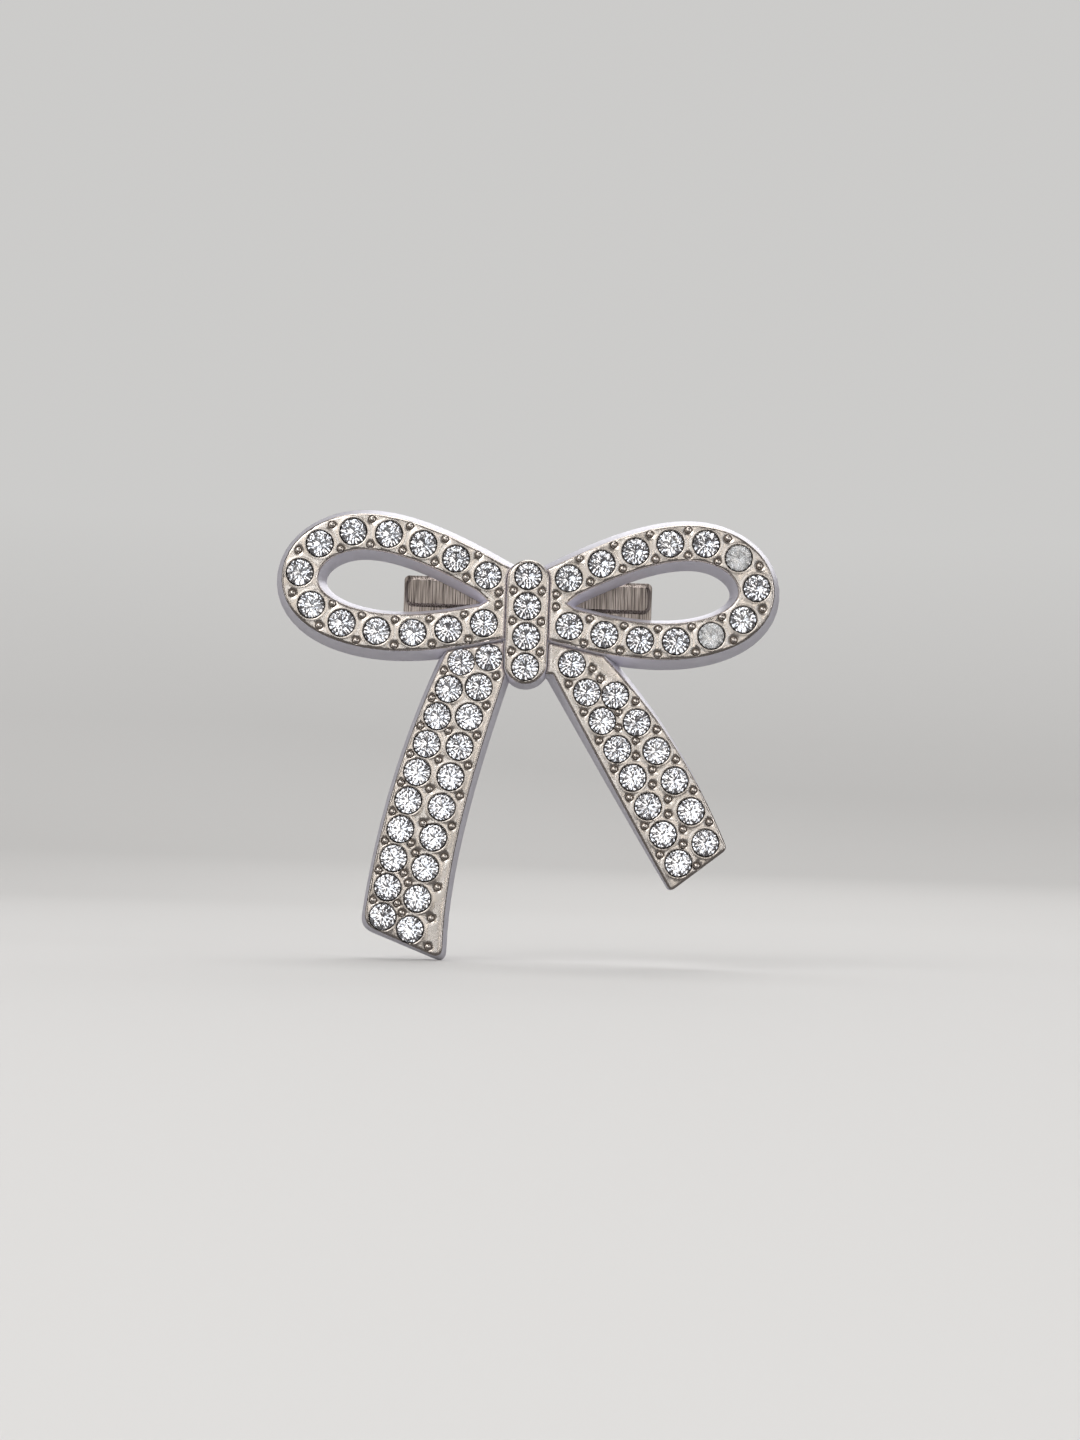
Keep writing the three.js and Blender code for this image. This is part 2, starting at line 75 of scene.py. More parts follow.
SEAT_SIDES = 48
SEAT_RADIUS = 1.345
SEAT_MARGIN = 0.05  # between a seat and the casting's edge
SEAT_RINGS = ((1.0, 0.3), (0.98, 0.5), (0.5, 1.0))  # share of its radius, and depth
SEAT_TIP_DEPTH = 1.5
SEAT_OXIDE_AND_SHADE = 0.8  # dark oxide and painted shade on a seat's wall, behind the stone
CAD_SEAT_REACH = 1.36  # a CAD seat is no wider
CAD_SEAT_DEPTH = 2.0  # and no deeper

RIM_RINGS = (0.03, 0.07, 0.12, 0.18, 0.26)  # rows of vertices from a seat's edge outwards
RIM_STAGGER = 10  # half turns of a row for each millimetre of its width
RIM_SHARE = 0.7  # a row stops where another seat is nearer than this share of its width
RIM_LIP = 0.05  # height of the raised lip round a seat
LIP_OUT = 0.12  # from the seat's edge to the lip's crest
LIP_WIDTH = 0.08
MOUTH_DIP = 0.05  # how far the seat's very edge sinks
MOUTH_WIDTH = 0.04
MOUTH_OXIDE_AND_SHADE = 0.75  # dark oxide and painted shade at that edge, a dark ring round each stone
MOUTH_OXIDE_AND_SHADE_WIDTH = 0.05

BEAD_RADIUS = 0.3
BEAD_HEIGHT = 0.2
BEAD_SUNK = 0.02
BEAD_FOLLOWS = 0.5  # share of the edge's drop that a bead takes part in
BEAD_EDGE = 0.004  # of its radius, which belongs to the groove
BEAD_OXIDE_AND_SHADE = 0.6  # share of the groove's dark oxide and painted shade that lies on the bead
BEAD_MARGIN = 0.05  # between a bead and the casting's edge
BEAD_SEAT_GAP = 0.04  # between a bead and a seat
BEAD_GAP = 0.1  # between two beads
BEAD_GROOVE = 0.09  # depth of the groove round a bead
GROOVE_OUT = 0.045  # from the bead's edge to the groove's middle
GROOVE_WIDTH = 0.05
BEAD_RINGS = (  # radius, and count of vertices, from the bead's crown to past its groove
    (0.1, 6),
    (0.18, 10),
    (0.24, 12),
    (0.285, 16),
    (0.3, 16),
    (0.33, 16),
    (0.37, 16),
    (0.43, 16),
)

BEAD_GRAIN = 0.03  # least distance between a bead's vertices
BEAD_CLEARANCE = 0.02  # between those and a seat
FACE_GRAIN = 0.05  # the same for the rows along the edges and round the seats
EDGE_CLEARANCE = 0.04  # between the rows along the edges and a seat
FILL_GRAIN = 0.16  # and for the grid over the rest
FILL_CLEARANCE = 0.1  # between that grid and a seat
FILL_STEP = 0.28
FILL_ROW = 0.87  # height of the grid's rows, as a share of its step

CAST_RIPPLE = 0.016  # how far the cast face waves in and out
RIPPLE_SCALE = 0.7  # of its noise, per millimetre
RIPPLE_PLANE = 3.1  # where the face cuts that noise
CAST_SHARP = 50  # degrees between two faces from which their edge shades as sharp

LEVEL_TOLERANCE = 1e-6  # metres, within which a vertex is on the front
CAD_WELD = 1e-7  # metres, which joins the CAD faces' own corners
WELD = 2e-6  # metres, which joins the cast face to the walls
TRIANGULATION_GAP = 1e-5
LEAST_REGION = 1e-3  # a smaller region of the face is a sliver, and left out

# ---------------------------------------------------------------- sizes of the chatons
STONE_RADIUS = 1.28
STONE_CROWN = 0.46
STONE_GIRDLE = 0.12
STONE_PAVILION = 1.08
STONE_PROUD = 0.14  # how far a table stands in front of its CAD table
TABLE_SHARE = 0.55
STAR_SHARE = 0.78
LOWER_SHARE = 0.24
STONE_TILT = math.radians(1.6)
STONE_SEED = 11
STONE_SHARP = 1  # degrees, so that every facet stays flat
CAD_TABLE_DEPTH = 0.01  # a CAD table's corners lie within this of its front
CAD_TABLE_SPREAD = 2.5  # the corners of one CAD table span less than this


# ---------------------------------------------------------------- reading the frame
def node_points(node):
    """A CAD node's vertices in millimetres."""
    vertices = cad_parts[node].data.vertices
    return np.array([v.co[:] for v in vertices]) / MM


def stone_centres(node):
    """The (x, z) of each stone in a node, one or two, from the corners of their tables."""
    points = node_points(node)
    level = points[:, 1].min()
    table = points[points[:, 1] < level + CAD_TABLE_DEPTH][:, [0, 2]]
    spread = table.max(0) - table.min(0)
    if np.hypot(*spread) < CAD_TABLE_SPREAD:
        return [table.mean(0)]
    far = table[np.argmax(np.linalg.norm(table - table[0], axis=1))]
    near = table[np.argmax(np.linalg.norm(table - far, axis=1))]
    along = (table - near) @ (far - near)
    half = along < along.max() / 2
    return [table[half].mean(0), table[~half].mean(0)]


def stone_nodes(prefix):
    return sorted(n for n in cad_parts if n.startswith(prefix))


STONES = {n: stone_centres(n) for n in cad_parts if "_stone" in n}


# ---------------------------------------------------------------- materials
# Dark tint of oxide in the hollows and painted shade in the seats, at their edges and in the grooves round
# the beads.
OXIDE_AND_SHADE_TINT = (0.05, 0.035, 0.028)
STEEL_SCRATCH = (0.10, 0.08, 0.07)
GLASS_IOR = 1.57


def node_material(name):
    material = bpy.data.materials.new(name)
    material.use_nodes = True
    tree = material.node_tree
    return material, tree, tree.nodes["Principled BSDF"]


def add_node(tree, kind, **values):
    made = tree.nodes.new(kind)
    for key, value in values.items():
        if key in made.inputs:
            made.inputs[key].default_value = value
        else:
            setattr(made, key, value)
    return made


def object_noise(tree, scale, detail=3, stretch=(1, 1, 1)):
    """Noise in the object's own metres; stretch scales its three axes."""
    where = add_node(tree, "ShaderNodeTexCoord")
    mapping = add_node(tree, "ShaderNodeMapping", Scale=stretch)
    texture = add_node(tree, "ShaderNodeTexNoise", Scale=scale, Detail=detail)
    tree.links.new(where.outputs["Object"], mapping.inputs["Vector"])
    tree.links.new(mapping.outputs["Vector"], texture.inputs["Vector"])
    return texture.outputs["Fac"]


def ranged(tree, value, low, high, start=0.3, end=0.7):
    """The value's start to end, spread over low to high."""
    mapped = add_node(tree, "ShaderNodeMapRange")
    mapped.inputs["From Min"].default_value = start
    mapped.inputs["From Max"].default_value = end
    mapped.inputs["To Min"].default_value = low
    mapped.inputs["To Max"].default_value = high
    tree.links.new(value, mapped.inputs["Value"])
    return mapped.outputs["Result"]


def mixed(tree, factor, first, second):
    """A colour between first and second, each a colour or another node's output."""
    mix = add_node(tree, "ShaderNodeMix", data_type="RGBA")
    colours = [s for s in mix.inputs if s.type == "RGBA"]
    for socket, value in zip(colours, (first, second)):
        if isinstance(value, tuple):
            socket.default_value = (*value, 1)
        else:
            tree.links.new(value, socket)
    tree.links.new(factor, mix.inputs[0])
    return [s for s in mix.outputs if s.type == "RGBA"][0]


def add_bump(tree, shader, height, depth):
    bump = add_node(tree, "ShaderNodeBump", Strength=1.0, Distance=depth * MM)
    tree.links.new(height, bump.inputs["Height"])
    tree.links.new(bump.outputs["Normal"], shader.inputs["Normal"])


def plating(name, colour, worn, rough, metallic, oxide_and_shade):
    """Plating over a casting: cloudy gloss, a fine orange peel and, when asked, a dark tint, read from a
    vertex attribute, of oxide and painted shade in the seats, at their edges and in the grooves round the
    beads.
    """
    material, tree, shader = node_material(name)
    shader.inputs["Metallic"].default_value = metallic
    cloud = object_noise(tree, scale=420, detail=4)
    tint = mixed(tree, ranged(tree, cloud, 0, 1), colour, worn)
    # the attribute's dark tint is oxide and painted shade
    if oxide_and_shade:
        oxide_and_shade_amount = add_node(tree, "ShaderNodeAttribute", attribute_name="oxide_and_shade")
        tint = mixed(tree, oxide_and_shade_amount.outputs["Fac"], tint, OXIDE_AND_SHADE_TINT)
    tree.links.new(tint, shader.inputs["Base Color"])
    gloss = object_noise(tree, scale=1500)
    tree.links.new(ranged(tree, gloss, rough - 0.03, rough + 0.05), shader.inputs["Roughness"])
    add_bump(tree, shader, object_noise(tree, scale=4200, detail=2), depth=0.006)
    return material


def brushed_steel():
    """Thin plating over brushed steel, with scratches straight across the bar."""
    material, tree, shader = node_material("bar_brushed")
    shader.inputs["Metallic"].default_value = 1
    scratch = object_noise(tree, scale=9000, detail=4, stretch=(1, 1, 0.025))
    stain = object_noise(tree, scale=350)
    tint = mixed(tree, ranged(tree, stain, 0, 1), (0.62, 0.54, 0.49), (0.42, 0.36, 0.32))
    tint = mixed(tree, ranged(tree, scratch, 0, 1, start=0.42, end=0.62), tint, STEEL_SCRATCH)
    tree.links.new(tint, shader.inputs["Base Color"])
    tree.links.new(ranged(tree, scratch, 0.28, 0.5), shader.inputs["Roughness"])
    add_bump(tree, shader, scratch, depth=0.04)
    return material


def polished_steel():
    """Drawn and turned steel: bright, with faint marks."""
    material, tree, shader = node_material("pin_polished")
    shader.inputs["Metallic"].default_value = 1
    mark = object_noise(tree, scale=3800, stretch=(0.08, 1, 1))
    tint = mixed(tree, ranged(tree, mark, 0, 1), (0.78, 0.77, 0.75), (0.66, 0.64, 0.61))
    tree.links.new(tint, shader.inputs["Base Color"])
    tree.links.new(ranged(tree, mark, 0.14, 0.28), shader.inputs["Roughness"])
    add_bump(tree, shader, mark, depth=0.006)
    return material


def crystal(name, colour, low, high):
    """Cut glass, whose polish varies a little from facet to facet."""
    material, tree, shader = node_material(name)
    shader.inputs["Base Color"].default_value = (*colour, 1)
    shader.inputs["Transmission Weight"].default_value = 1
    shader.inputs["IOR"].default_value = GLASS_IOR
    haze = object_noise(tree, scale=900, detail=2)
    tree.links.new(ranged(tree, haze, low, high), shader.inputs["Roughness"])
    return material


def foil(name, colour, worn, rough):
    """The mirror foil behind a chaton, slightly mottled."""
    material, tree, shader = node_material(name)
    shader.inputs["Metallic"].default_value = 1
    mottle = object_noise(tree, scale=1300)
    tint = mixed(tree, ranged(tree, mottle, 0, 1), colour, worn)
    tree.links.new(tint, shader.inputs["Base Color"])
    tree.links.new(ranged(tree, mottle, rough, rough + 0.05), shader.inputs["Roughness"])
    return material


FACE_PLATING = plating(
    "face_plating",
    colour=(0.88, 0.80, 0.735),
    worn=(0.76, 0.69, 0.62),
    rough=0.26,
    metallic=1.0,
    oxide_and_shade=True,
)
# The walls' cool lavender tint is a painted reflection; the plating itself is the same as the face's.
WALL_PAINTED_REFLECTION_PLATING = plating(
    "wall_painted_reflection_plating",
    colour=(0.84, 0.82, 0.89),
    worn=(0.78, 0.76, 0.83),
    rough=0.38,
    metallic=0.55,
    oxide_and_shade=False,
)
BRUSHED = brushed_steel()
POLISHED = polished_steel()
CRYSTAL = crystal("clear_crystal", (0.99, 0.99, 1.0), low=0.0, high=0.015)
MILKY_CRYSTAL = crystal("milky_crystal", (0.98, 0.98, 0.98), low=0.1, high=0.22)
FOIL = foil("stone_foil", (0.95, 0.95, 0.96), worn=(0.88, 0.88, 0.90), rough=0.02)
DULL_FOIL = foil("dull_foil", (0.98, 0.98, 0.98), worn=(0.90, 0.90, 0.91), rough=0.2)


# ---------------------------------------------------------------- making objects
def finished(name, bm, materials, body, node, sharp):
    """Turns a bmesh into a piece that stands for a CAD node and rides on a body; sharp is in degrees."""
    for face in bm.faces:
        face.smooth = True
    for edge in bm.edges:
        edge.smooth = edge.calc_face_angle(math.pi) < math.radians(sharp)
    mesh = bpy.data.meshes.new(name)
    bm.to_mesh(mesh)
    bm.free()
    if "custom_normal" in mesh.attributes:  # carried over from the CAD mesh, and stronger than sharp edges
        mesh.attributes.remove(mesh.attributes["custom_normal"])
    for material in materials:
        mesh.materials.append(material)
    piece = bpy.data.objects.new(name, mesh)
    bpy.context.scene.collection.objects.link(piece)
    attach(piece, body)
    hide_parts(node)
    return piece


# ---------------------------------------------------------------- castings
def front_faces(bm, level):
    return [f for f in bm.faces if all(v.co.y < level + LEVEL_TOLERANCE for v in f.verts)]


def chained(edges):
    """Closed loops of vertices, from the edges that make them up in any order."""
    links = {}
    for edge in edges:
        a, b = edge.verts
        links.setdefault(a, []).append(b)
        links.setdefault(b, []).append(a)
    loops = []
    while links:
        start = next(iter(links))
        loop = [start]
        here = links.pop(start)[0]
        while here is not start and here in links:
            loop.append(here)
            ahead = [v for v in links.pop(here) if v is not loop[-2]]
            here = ahead[0] if ahead else start
        loops.append(loop)
    return loops


def seat_faces(bm, centres, level):
    """The faces of the seats' walls and bottoms, below the front."""
    verts = list(bm.verts)
    points = np.array([(v.co.x, v.co.z) for v in verts]) / MM
    near = seat_gap(points, centres, [CAD_SEAT_REACH] * len(centres)) < 0
    deepest = level + CAD_SEAT_DEPTH * MM
    held = {v for v, close in zip(verts, near) if close and v.co.y < deepest}
    below = {v for v in verts if v.co.y > level + LEVEL_TOLERANCE}
    return [f for f in bm.faces if held.issuperset(f.verts) and not below.isdisjoint(f.verts)]


def open_rim(bm, level):
    front = level + LEVEL_TOLERANCE
    return [e for e in bm.edges if e.is_boundary and all(v.co.y < front for v in e.verts)]


def divide_rim(bm, level):
    """Adds vertices along the open rim, so that none of its edges is longer than RIM_STEP."""
    for edge in open_rim(bm, level):
        cuts = int(edge.calc_length() / MM / RIM_STEP)
        if cuts:
            bmesh.ops.subdivide_edges(bm, edges=[edge], cuts=cuts)


def unit(vectors):
    return vectors / np.linalg.norm(vectors, axis=1)[:, None]


def offset_ring(loop, distance):
    """The loop's vertices moved along their normals, to its left, or to its right by a negative distance."""
    ahead = unit(np.roll(loop, -1, axis=0) - loop)
    behind = unit(loop - np.roll(loop, 1, axis=0))
    heading = unit(ahead + behind)
    return loop + distance * np.stack([-heading[:, 1], heading[:, 0]], 1)


def segment_distance(points, loops):
    """Each point's distance to the nearest edge of the loops."""
    best = np.full(len(points), np.inf)
    for loop in loops:
        for a, b in zip(loop, np.roll(loop, -1, axis=0)):
            ab = b - a
            share = np.clip(((points - a) @ ab) / max(ab @ ab, TINY), 0, 1)
            best = np.minimum(best, np.linalg.norm(points - a - share[:, None] * ab, axis=1))
    return best


def inside(points, loops):
    """Whether each point is in the face, by the even-odd rule."""
    crossings = np.zeros(len(points), int)
    for loop in loops:
        for a, b in zip(loop, np.roll(loop, -1, axis=0)):
            spans = (a[1] > points[:, 1]) != (b[1] > points[:, 1])
            slope = (b[0] - a[0]) / (b[1] - a[1] if b[1] != a[1] else TINY)
            crossings += spans & (points[:, 0] < a[0] + slope * (points[:, 1] - a[1]))
    return crossings % 2 == 1


def seat_gap(points, centres, radii):
    """Each point's distance from the nearest seat's edge, negative inside it."""
    spans = np.linalg.norm(points[:, None] - np.array(centres)[None], axis=2)
    return (spans - np.array(radii)[None]).min(1)


def ring(centre, radius, count, turn=0.0):
    angles = np.arange(count) * 2 * math.pi / count + turn
    return np.array(centre) + radius * np.stack([np.cos(angles), np.sin(angles)], 1)


class Sower:
    """Collects points that keep their distance from each other, sorted into square cells."""

    cell = 0.1

    def __init__(self):
        self.grid = {}
        self.points = []

    def near(self, point, gap):
        reach = int(math.ceil(gap / self.cell))
        cx, cz = int(point[0] // self.cell), int(point[1] // self.cell)
        for x in range(cx - reach, cx + reach + 1):
            for z in range(cz - reach, cz + reach + 1):
                for i in self.grid.get((x, z), ()):
                    other = self.points[i]
                    if (other[0] - point[0]) ** 2 + (other[1] - point[1]) ** 2 < gap * gap:
                        return True
        return False

    def add(self, point, gap=0.0):
        """Takes the point, unless another is nearer than gap."""
        if gap and self.near(point, gap):
            return
        key = (int(point[0] // self.cell), int(point[1] // self.cell))
        self.grid.setdefault(key, []).append(len(self.points))
        self.points.append((float(point[0]), float(point[1])))

    def add_loop(self, loop):
        """Takes a closed loop of points, and gives its edges."""
        first = len(self.points)
        for point in loop:
            self.add(point)
        count = len(loop)
        return [(first + i, first + (i + 1) % count) for i in range(count)]


def edge_points(outline, distance):
    """Points at a distance inside the outline, one beside each of its vertices."""
    found = np.concatenate([offset_ring(loop, sign * distance) for loop in outline for sign in (-1, 1)])
    found = found[inside(found, outline)]
    return found[segment_distance(found, outline) > EDGE_SHARE * distance]


def hump(distance, crest, width):
    """A smooth hump, 1 at its crest."""
    return np.exp(-(((distance - crest) / width) ** 2))


def edge_rounding(points, outline):
    """How far across the edge's rounding each point is, from 0 to 1, and how far it drops there."""
    share = np.clip(segment_distance(points, outline) / EDGE_ROUND, 0, 1)
    return share, EDGE_ROUND * (1 - np.sqrt(1 - (1 - share) ** 2))


def face_height(points, outline, centres, radii, beads):
    """How far the cast face stands out from the CAD face, and how much dark oxide and painted shade lies
    there.
    """
    edge, drop = edge_rounding(points, outline)
    seat = np.maximum(seat_gap(points, centres, radii), 0)
    lip = RIM_LIP * hump(seat, LIP_OUT, LIP_WIDTH) - MOUTH_DIP * hump(seat, 0, MOUTH_WIDTH)
    places = [Vector((x * RIPPLE_SCALE, z * RIPPLE_SCALE, RIPPLE_PLANE)) for x, z in points]
    ripple = np.array([noise.noise(place) for place in places])
    height = (lip + CAST_RIPPLE * ripple) * edge - drop
    # dark oxide and painted shade at each seat's edge, and in the grooves round the beads
    oxide_and_shade_amount = MOUTH_OXIDE_AND_SHADE * hump(seat, 0, MOUTH_OXIDE_AND_SHADE_WIDTH)
    if beads:
        centre_drop = edge_rounding(np.array(beads), outline)[1]
        spans = np.linalg.norm(points[:, None] - np.array(beads)[None], axis=2)
        span = spans.min(1)
        dome = BEAD_HEIGHT * np.sqrt(np.clip(1 - (span / BEAD_RADIUS) ** 2, 0, 1))
        bead_height = dome - BEAD_FOLLOWS * centre_drop[spans.argmin(1)] - BEAD_SUNK
        groove = hump(span, BEAD_RADIUS + GROOVE_OUT, GROOVE_WIDTH)
        on_bead = span < BEAD_RADIUS - BEAD_EDGE
        height = np.where(on_bead, bead_height, height - BEAD_GROOVE * groove * edge)
        oxide_and_shade_amount = np.maximum(oxide_and_shade_amount * ~on_bead, groove * np.where(on_bead, BEAD_OXIDE_AND_SHADE, 1))
    return height, np.clip(oxide_and_shade_amount, 0, 1)


def open_shell(node, centres):
    """The CAD casting's walls and back, without its front and seats, and the outline where the front was."""
    bm = bmesh.new()
    bm.from_mesh(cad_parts[node].data)
    bmesh.ops.remove_doubles(bm, verts=bm.verts, dist=CAD_WELD)
    level = min(v.co.y for v in bm.verts)
    bmesh.ops.delete(bm, geom=front_faces(bm, level) + seat_faces(bm, centres, level), context="FACES")
    keep_shell(bm)
    divide_rim(bm, level)
    rim = open_rim(bm, level)
    outline = [np.array([(v.co.x, v.co.z) for v in loop]) / MM for loop in chained(rim)]
    for v in {v for e in rim for v in e.verts}:
        v.co.y = level + EDGE_ROUND * MM
    for face in bm.faces:
        face.material_index = 1
    return bm, level, outline


def sow_face(outline, centres, radii, beads):
    """The face's points, the edges of its outline and seats, and the indices of each seat's points."""
    sown = Sower()
    edges = []
    for loop in outline:
        edges += sown.add_loop(loop)
    seats = []
    for centre, radius in zip(centres, radii):
        seat = sown.add_loop(ring(centre, radius, SEAT_SIDES))
        seats.append([start for start, _ in seat])
        edges += seat
    for bead in beads:
        sown.add(bead, BEAD_GRAIN)
        for radius, count in BEAD_RINGS:
            for point in ring(bead, radius, count):
                if seat_gap(point[None], centres, radii)[0] > BEAD_CLEARANCE:
                    sown.add(point, BEAD_GRAIN)
    for width in RIM_RINGS:
        for centre, radius in zip(centres, radii):
            around = ring(centre, radius + width, SEAT_SIDES, math.pi * width * RIM_STAGGER)
            free = seat_gap(around, centres, radii) > RIM_SHARE * width
            for point in around[free & inside(around, outline)]:
                sown.add(point, FACE_GRAIN)
    for distance in EDGE_RINGS:
        points = edge_points(outline, distance)
        for point in points[seat_gap(points, centres, radii) > EDGE_CLEARANCE]:
            sown.add(point, FACE_GRAIN)
    for point in fill_points(outline, centres, radii):
        sown.add(point, FILL_GRAIN)
    return sown.points, edges, seats


def add_face(bm, level, outline, centres, radii, beads):
    """The cast face, triangulated between its outline and its seats, and the seats themselves."""
    sown, edges, seats = sow_face(outline, centres, radii, beads)
    flat = delaunay_2d_cdt([Vector(p) for p in sown], edges, [], 0, TRIANGULATION_GAP)
    points = np.array([v[:] for v in flat[0]])
    triangles = np.array([f for f in flat[2] if len(f) == 3])
    origin = {old: new for new, olds in enumerate(flat[3]) for old in olds}
    walls = {frozenset((origin[a], origin[b])) for a, b in edges}
    kept = triangles[face_triangles(points, triangles, walls, outline, centres, radii)]
    height, oxide_and_shade_amount = face_height(points, outline, centres, radii, beads)
    # each vertex keeps its amount of dark oxide and painted shade
    oxide_and_shade = bm.verts.layers.float.new("oxide_and_shade")
    verts = {}
    for i in sorted(set(kept.ravel())):
        x, z = points[i]
        verts[i] = bm.verts.new((x * MM, level - height[i] * MM, z * MM))
        verts[i][oxide_and_shade] = oxide_and_shade_amount[i]
    for a, b, c in kept:
        bm.faces.new((verts[a], verts[b], verts[c])).material_index = 0
    for centre, radius, seat in zip(centres, radii, seats):
        add_cup(bm, [verts[origin[i]] for i in seat], centre, radius, level, oxide_and_shade)


def casting(node, centres, beads):
    """A casting with the CAD's walls and back, and a face with round edges, seats, lips and beads."""
    bm, level, outline = open_shell(node, centres)
    room = segment_distance(np.array(beads), outline) > BEAD_RADIUS + BEAD_MARGIN
    beads = [bead for bead, fits in zip(beads, room & inside(np.array(beads), outline)) if fits]
    radii = np.minimum(SEAT_RADIUS, segment_distance(np.array(centres), outline) - SEAT_MARGIN)
    add_face(bm, level, outline, centres, radii, beads)
    bmesh.ops.remove_doubles(bm, verts=bm.verts, dist=WELD)
    gaps = bmesh.ops.holes_fill(bm, edges=[e for e in bm.edges if e.is_boundary])
    for face in gaps["faces"]:
        face.material_index = 1
    bmesh.ops.triangulate(bm, faces=[f for f in bm.faces if f.material_index == 1], ngon_method="BEAUTY")
    bmesh.ops.recalc_face_normals(bm, faces=bm.faces)
    finished(node + "_cast", bm, (FACE_PLATING, WALL_PAINTED_REFLECTION_PLATING), "brooch", node, CAST_SHARP)


def keep_shell(bm):
    """Deletes the seats' insides: everything that isn't joined to the casting's back."""
    back = max(bm.verts, key=lambda v: v.co.y)
    reached = {back}
    queue = [back]
    while queue:
        vert = queue.pop()
        for edge in vert.link_edges:
            other = edge.other_vert(vert)
            if edge.link_faces and other not in reached:
                reached.add(other)
                queue.append(other)
    bmesh.ops.delete(bm, geom=[v for v in bm.verts if v not in reached], context="VERTS")


def face_triangles(points, triangles, walls, outline, centres, radii):
    """Which triangles are on the face: a region between walls is judged as a whole, by its largest one."""
    beside = {}
    sides = [[frozenset((int(t[i]), int(t[i - 1]))) for i in range(3)] for t in triangles]
    for index, own in enumerate(sides):
        for side in own:
            beside.setdefault(side, []).append(index)
    corners = points[triangles]
    first, second = corners[:, 1] - corners[:, 0], corners[:, 2] - corners[:, 0]
    area = np.abs(first[:, 0] * second[:, 1] - first[:, 1] * second[:, 0])
    kept = np.zeros(len(triangles), bool)
    seen = np.zeros(len(triangles), bool)
    for start in range(len(triangles)):
        if seen[start]:
            continue
        seen[start] = True
        region = [start]
        for index in region:
            for side in sides[index]:
                for other in beside[side]:
                    if side not in walls and not seen[other]:
                        seen[other] = True
                        region.append(other)
        largest = max(region, key=lambda t: area[t])
        middle = corners[largest].mean(0)[None]
        on_face = inside(middle, outline)[0] and seat_gap(middle, centres, radii)[0] > 0
        kept[region] = on_face and area[largest] > LEAST_REGION
    return kept


def fill_points(outline, centres, radii):
    """A loose triangular grid over the rest of the face."""
    low = np.min([loop.min(0) for loop in outline], axis=0)
    high = np.max([loop.max(0) for loop in outline], axis=0)
    rows = np.arange(low[1], high[1], FILL_STEP * FILL_ROW)
    columns = np.arange(low[0], high[0], FILL_STEP)
    grid = np.array([(x + (i % 2) * FILL_STEP / 2, z) for i, z in enumerate(rows) for x in columns])
    grid = grid[inside(grid, outline)]
    grid = grid[seat_gap(grid, centres, radii) > FILL_CLEARANCE]
    return grid[segment_distance(grid, outline) > EDGE_ROUND]


def add_cup(bm, mouth, centre, radius, level, oxide_and_shade):
    """The round wall and cone of a seat, down from its mouth."""
    rings = [mouth]
    for share, depth in SEAT_RINGS:
        made = []
        for x, z in ring(centre, radius * share, SEAT_SIDES):
            vert = bm.verts.new((x * MM, level + depth * MM, z * MM))
            # a seat's wall and tip take the dark tint of oxide and painted shade
            vert[oxide_and_shade] = SEAT_OXIDE_AND_SHADE
            made.append(vert)
        rings.append(made)
    tip = bm.verts.new((centre[0] * MM, level + SEAT_TIP_DEPTH * MM, centre[1] * MM))
    tip[oxide_and_shade] = 1.0
    for upper, lower in zip(rings, rings[1:]):
        for i in range(SEAT_SIDES):
            j = (i + 1) % SEAT_SIDES
            bm.faces.new((upper[i], upper[j], lower[j], lower[i]))
    for i in range(SEAT_SIDES):
        bm.faces.new((rings[-1][i], rings[-1][(i + 1) % SEAT_SIDES], tip))


# ---------------------------------------------------------------- where the beads are
LOOP_BEAD_OUT = 1.38  # from the line through the loop's stones
LOOP_BEAD_IN = 1.2
LOOP_ROOT_BEADS = ((0.62, 0.72), (0.62, -0.52))  # from the knot's side, halfway between the loop's ends
TAIL_BEAD_SIDE = 1.22  # from the line through a column's stones
LEFT_TAIL_BEADS = (1.3, 1.75)  # on its inner side, at the top and at the end
END_BEADS = {  # from the last inner stone, outwards and up
    "left": ((-1.84, -1.64), (2.0, -0.6)),
    "right": ((-0.86, -1.94), (1.8, -0.2), (4.5, 1.7)),
}
ROOT_BEADS = ((2.05, -0.4), (2.87, -1.39))  # from the right tail's first stone
ROW_BEADS = ((-0.15, 0.93), (-0.1, -0.58))  # from the middle of each of its rows
TWIN_BEADS = (-0.24, 0.48)  # either way from where four stones meet, low on the left tail
TWINS_FROM = 5  # how many such places down the tail that starts
KNOT_BEAD_SIDE = 1.42  # from the line through the knot's stones


def across(a, b):
    """The unit vector square to the line from a to b, on its left."""
    along = (b - a) / np.linalg.norm(b - a)
    return np.array([-along[1], along[0]])


def loop_beads(side, centres):
    """Two beads in each gap between neighbours, and two beside the knot."""
    beads = []
    for a, b in zip(centres, centres[1:]):
        outward = across(a, b) * side
        middle = (a + b) / 2
        beads += [middle + LOOP_BEAD_OUT * outward, middle - LOOP_BEAD_IN * outward]
    knot_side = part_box("knot")[1].x / MM
    middle = (centres[0][1] + centres[-1][1]) / 2
    beads += [np.array([side * (knot_side + out), middle + up]) for out, up in LOOP_ROOT_BEADS]
    return beads


